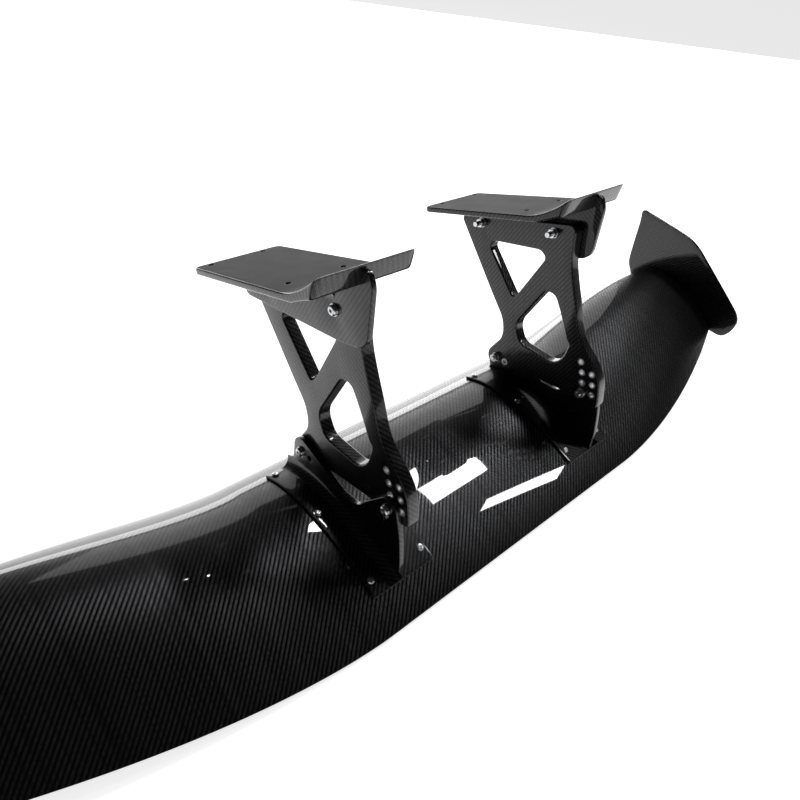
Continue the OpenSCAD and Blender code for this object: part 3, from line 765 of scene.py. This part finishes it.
def trunkFilletShell(side):
    # a quarter-round hollow under the plate, outboard of the fin
    t = trunk
    r, under = t["fillet"], t["height"] - t["thickness"]
    steps = t["filletSteps"]
    u = np.linspace(*t["filletU"], 40)
    angle = np.linspace(0, math.pi / 2, steps)
    buried = np.linspace(under - r, under + t["filletIn"], steps)
    x = np.concatenate([t["finX1"] + r * (1 - np.sin(angle)), np.full(steps, t["finX1"] - t["filletIn"])])
    w = np.concatenate([under - r * (1 - np.cos(angle)), buried])
    uu, xx = np.meshgrid(u, x, indexing="ij")
    ww = np.repeat(w[None], len(u), 0)
    step = np.concatenate([[0], np.cumsum(np.hypot(np.diff(x), np.diff(w)))])
    step = np.concatenate([step, step[-1:] + 1])
    uv = np.stack(np.meshgrid(u, step, indexing="ij")[::-1], -1)
    return loftShell(inStand(side * xx, uu, ww), uv)


def makeTrunkMount(name, side, body, replaced):
    shells = [trunkPlateShell(side), trunkFinShell(side), trunkFilletShell(side)]
    materials = [(standTwill, satin), (standTwill, standTwill), (standTwill, standTwill)]
    putMesh(name, shells, materials, body, replaced)


makeTrunkMount("trunkMountLeft", 1, "stand_left", "trunk_mount_left")
makeTrunkMount("trunkMountRight", -1, "stand_right", "trunk_mount_right")


# ---- carried-over pieces ----

for node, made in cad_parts.items():
    if made.hide_render:
        continue
    words = node.split("_")
    metal = alloy if "bushes" in words or "inserts" in words else steel
    inner = core if "blocks" in words or "rib" in words or "spar" in words else metal
    made.data.materials.clear()
    made.data.materials.append(inner)
print("finishes put on the carried-over pieces")


# ---- floor, light and camera ----

studio = {
    "floorSize": 160.0, "floorColour": (0.92, 0.92, 0.92), "floorGlow": 0.85,
    "location": (-0.7111, -0.5510, 0.7981),
    "forward": (0.5976, 0.5266, -0.6047), "right": (0.722, -0.6814, 0.1201), "up": (0.3488, 0.5084, 0.7873),
    "lens": 31.75, "sensor": 36, "worldDim": 0.02,
}


def makeFloor():
    size = studio["floorSize"] / 2
    mesh = bpy.data.meshes.new("floor")
    corners = [(-size, -size, 0), (size, -size, 0), (size, size, 0), (-size, size, 0)]
    mesh.from_pydata(corners, [], [(0, 1, 2, 3)])
    made = bpy.data.objects.new("floor", mesh)
    bpy.context.scene.collection.objects.link(made)
    material, tree, shader, _ = newMaterial("paleFloor")
    setShader(tree, shader, Base_Color=(*studio["floorColour"], 1), Roughness=0.6,
              Emission_Color=(*studio["floorColour"], 1), Emission_Strength=studio["floorGlow"])
    mesh.materials.append(material)


def aim(made, location, target):
    # stands at the location with its back, +Z, turned from the target
    back = np.array(location, float) - np.array(target, float)
    z = back / np.linalg.norm(back)
    x = np.cross((0, 0, 1), z)
    x = x / np.linalg.norm(x) if np.linalg.norm(x) > 1e-6 else np.array([1.0, 0, 0])
    y = np.cross(z, x)
    turn = Matrix([list(v) for v in np.stack([x, y, z], 1)]).to_4x4()
    made.matrix_world = Matrix.Translation(location) @ turn


def areaLight(name, azimuth, elevation, distance, size, power, target=(0, 0, 0.07), glossy=True):
    # a softbox seen from the wing in the given direction; azimuth 0 is +Y and 90 is +X
    data = bpy.data.lights.new(name, "AREA")
    data.shape = "RECTANGLE"
    data.size, data.size_y = size
    data.energy = power
    made = bpy.data.objects.new(name, data)
    bpy.context.scene.collection.objects.link(made)
    a, e = math.radians(azimuth), math.radians(elevation)
    way = np.array([math.sin(a) * math.cos(e), math.cos(a) * math.cos(e), math.sin(e)])
    aim(made, tuple(np.array(target) + distance * way), target)
    made.visible_glossy = glossy


def makeWorld():
    # pale to the camera, dim to everything else, so that gloss stays dark between the softboxes
    world = bpy.data.worlds.new("studio")
    bpy.context.scene.world = world
    world.use_nodes = True
    tree = world.node_tree
    tree.nodes.clear()
    start = Wire(tree, None)
    seen = start.node("ShaderNodeLightPath", output="Is Camera Ray")
    strength = studio["worldDim"] + (1 - studio["worldDim"]) * seen
    back = start.node("ShaderNodeBackground", inputs={"Color": (1.0, 1.0, 1.0, 1), "Strength": strength})
    out = tree.nodes.new("ShaderNodeOutputWorld")
    tree.links.new(back.socket, out.inputs["Surface"])


def makeCamera():
    data = bpy.data.cameras.new("camera")
    data.lens = studio["lens"]
    data.sensor_width = studio["sensor"]
    data.clip_start, data.clip_end = 0.02, 100
    made = bpy.data.objects.new("camera", data)
    bpy.context.scene.collection.objects.link(made)
    axes = [np.array(studio["right"]), np.array(studio["up"]), -np.array(studio["forward"])]
    turn = Matrix([list(v) for v in np.stack(axes, 1)]).to_4x4()
    made.matrix_world = Matrix.Translation(studio["location"]) @ turn.to_quaternion().to_matrix().to_4x4()
    bpy.context.scene.camera = made


makeFloor()
makeWorld()
areaLight("overhead", 0, 88, 3.0, (4.0, 4.0), 20, glossy=False)
areaLight("softbox", 85, 53.5, 2.6, (0.85, 0.34), 28)
areaLight("streak", 116, 42, 2.6, (0.13, 0.5), 5)
areaLight("patch", 63, 59.5, 2.6, (0.26, 0.2), 9, (-0.272, -0.055, 0.072))
areaLight("panel", 35, 27, 2.6, (2.2, 1.25), 8)
areaLight("backWall", 42, 4, 4.5, (7.0, 0.9), 80)
makeCamera()
bpy.context.scene.view_settings.view_transform = "Standard"
print("studio set")
